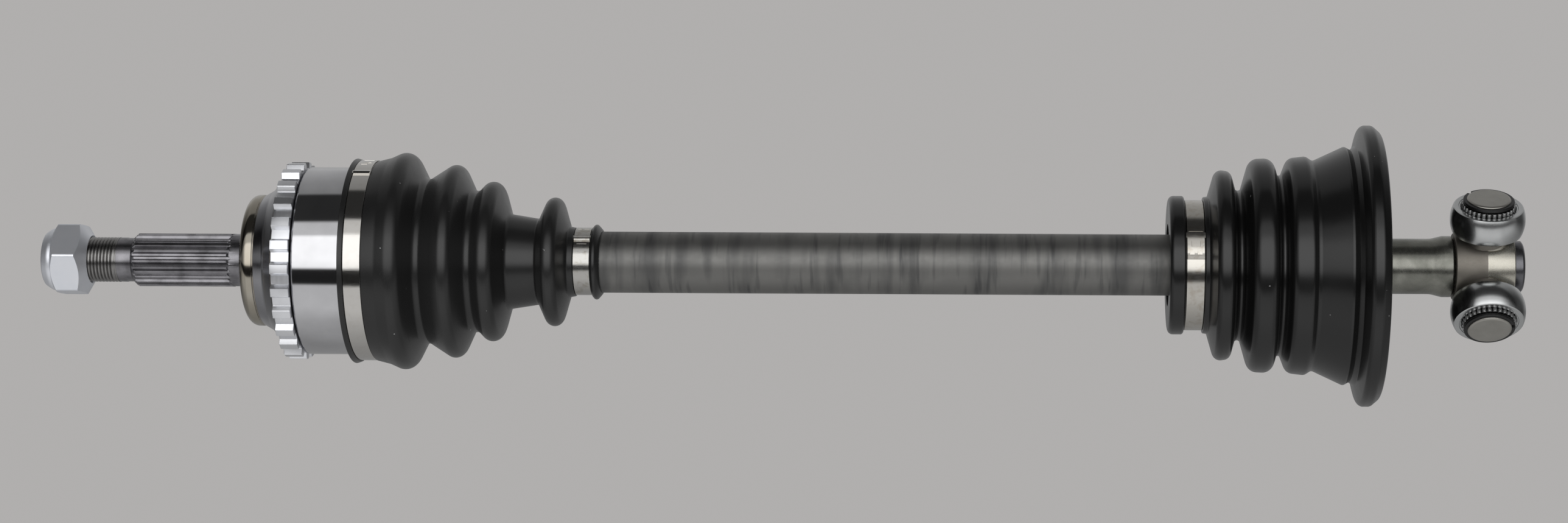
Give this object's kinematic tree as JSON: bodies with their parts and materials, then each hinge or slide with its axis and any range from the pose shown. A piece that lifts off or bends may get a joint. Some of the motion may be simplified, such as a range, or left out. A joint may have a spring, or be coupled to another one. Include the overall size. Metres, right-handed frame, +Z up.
{
  "type": "cv axle",
  "caption": "Front-wheel drive shaft: splined stub and ball joint at the wheel end, ribbed rubber boots, bare tripod with rollers at the gearbox end.",
  "frame": {"origin": "centre of the tripod, on the shaft axis, where the gearbox holds the shaft", "axes": "+X along the shaft from the wheel end to the gearbox end, +Z up, and the -Y side is the pictured front"},
  "size_m": [0.663, 0.1264, 0.1264],
  "materials": {
    "shaft_steel": "dark oiled forged and turned steel",
    "housing_steel": "ground and turned steel, heat tinted at the shoulder",
    "zinc_plate": "satin bright zinc plating",
    "nylon": "natural nylon",
    "ring_steel": "bright satin sintered steel",
    "hardened_steel": "ground hardened steel",
    "spring_steel": "dark spring steel",
    "cage_steel": "phosphated steel",
    "ball_steel": "polished bearing steel",
    "boot_rubber": "satin black moulded rubber",
    "clamp_steel": "rolled stainless strip",
    "cage_plastic": "dark glass-filled nylon",
    "seal_rubber": "black nitrile",
    "stained_clamp_steel": "strip steel with warm stains",
    "insert_steel": "pressed steel",
    "forged_steel": "matte forged steel",
    "black_ring": "black oxide",
    "needle_steel": "polished needle rollers",
    "roller_steel": "ground and lapped bearing steel"
  },
  "bodies": {
    "shaft": {"drive_shaft": "shaft_steel", "outer_joint_inner_race": "hardened_steel", "inner_race_circlip": "spring_steel", "outer_boot": "boot_rubber", "outer_boot_small_clamp": "clamp_steel", "boot_bearing_inner_ring": "hardened_steel", "boot_bearing_circlip": "spring_steel", "tripod_spider": "forged_steel", "spider_circlip": "spring_steel", "trunnion_ring_1": "black_ring", "trunnion_ring_2": "black_ring", "trunnion_ring_3": "black_ring"},
    "ball_carrier_inboard": {"joint_ball_1": "ball_steel"},
    "cage": {"outer_joint_cage": "cage_steel", "joint_ball_2": "ball_steel", "joint_ball_3": "ball_steel", "joint_ball_5": "ball_steel", "joint_ball_6": "ball_steel"},
    "ball_carrier_outboard": {"joint_ball_4": "ball_steel"},
    "wheel_stub": {"outer_joint_housing": "housing_steel", "wheel_speed_ring": "ring_steel", "outer_boot_large_clamp": "clamp_steel"},
    "nut_thread": {"nut_locking_insert": "nylon"},
    "hub_nut": {"hub_nut": "zinc_plate"},
    "boot_neck": {"boot_bearing_outer_ring": "hardened_steel", "boot_bearing_seals": "seal_rubber", "inner_boot": "boot_rubber", "inner_boot_clamp": "stained_clamp_steel"},
    "bearing_set": {"boot_bearing_balls": "ball_steel", "boot_bearing_cage": "cage_plastic"},
    "boot_flange": {"inner_boot_flange": "boot_rubber", "flange_insert": "insert_steel"},
    "needles_1": {"needle_set_1": "needle_steel"},
    "roller_1": {"roller_1": "roller_steel"},
    "needles_2": {"needle_set_2": "needle_steel"},
    "roller_2": {"roller_2": "roller_steel"},
    "needles_3": {"needle_set_3": "needle_steel"},
    "roller_3": {"roller_3": "roller_steel"}
  },
  "joints": [
    {"name": "steer_inboard", "type": "hinge", "parent": "shaft", "child": "ball_carrier_inboard", "pos_m": [-0.5175, 0, 0], "axis": [0, 0, 1], "range_deg": [-20, 20], "deforming": ["outer_boot"]},
    {"name": "travel_inboard", "type": "hinge", "parent": "ball_carrier_inboard", "child": "cage", "pos_m": [-0.5175, 0, 0], "axis": [0, 1, 0], "range_deg": [-7.5, 7.5]},
    {"name": "travel_outboard", "type": "hinge", "parent": "cage", "child": "ball_carrier_outboard", "pos_m": [-0.5175, 0, 0], "axis": [0, 1, 0], "range_deg": [-7.5, 7.5]},
    {"name": "steer_outboard", "type": "hinge", "parent": "ball_carrier_outboard", "child": "wheel_stub", "pos_m": [-0.5175, 0, 0], "axis": [0, 0, 1], "range_deg": [-20, 20]},
    {"name": "nut_travel", "type": "slide", "parent": "wheel_stub", "child": "nut_thread", "axis": [1, 0, 0], "range_m": [-0.015, 0.012]},
    {"name": "nut_turn", "type": "hinge", "parent": "nut_thread", "child": "hub_nut", "pos_m": [-0.6355, 0, 0], "axis": [1, 0, 0], "range_deg": [-3600, 2880]},
    {"name": "boot_bearing_spin", "type": "hinge", "parent": "shaft", "child": "boot_neck", "pos_m": [-0.133, 0, 0], "axis": [1, 0, 0], "continuous": true},
    {"name": "boot_bearing_cage_spin", "type": "hinge", "parent": "shaft", "child": "bearing_set", "pos_m": [-0.133, 0, 0], "axis": [1, 0, 0], "continuous": true},
    {"name": "boot_plunge", "type": "slide", "parent": "boot_neck", "child": "boot_flange", "axis": [1, 0, 0], "range_m": [-0.02, 0.02], "deforming": ["inner_boot"]},
    {"name": "roller_spin_1", "type": "hinge", "parent": "shaft", "child": "needles_1", "pos_m": [0, -0.00975, 0.01972], "axis": [0, -0.4431, 0.8965], "continuous": true},
    {"name": "roller_float_1", "type": "slide", "parent": "needles_1", "child": "roller_1", "axis": [0, -0.4431, 0.8965], "range_m": [-0.001, 0.0015]},
    {"name": "roller_spin_2", "type": "hinge", "parent": "shaft", "child": "needles_2", "pos_m": [0, -0.01221, -0.0183], "axis": [0, -0.5548, -0.832], "continuous": true},
    {"name": "roller_float_2", "type": "slide", "parent": "needles_2", "child": "roller_2", "axis": [0, -0.5548, -0.832], "range_m": [-0.001, 0.0015]},
    {"name": "roller_spin_3", "type": "hinge", "parent": "shaft", "child": "needles_3", "pos_m": [0, 0.02195, -0.00142], "axis": [0, 0.9979, -0.0645], "continuous": true},
    {"name": "roller_float_3", "type": "slide", "parent": "needles_3", "child": "roller_3", "axis": [0, 0.9979, -0.0645], "range_m": [-0.001, 0.0015]}
  ],
  "couplings": [
    {"joint": "travel_outboard", "follows": "travel_inboard", "ratio": 1},
    {"joint": "steer_outboard", "follows": "steer_inboard", "ratio": 1},
    {"joint": "nut_travel", "follows": "nut_turn", "m_per_rad": 0.00023873},
    {"joint": "boot_bearing_cage_spin", "follows": "boot_bearing_spin", "ratio": 0.58808}
  ]
}
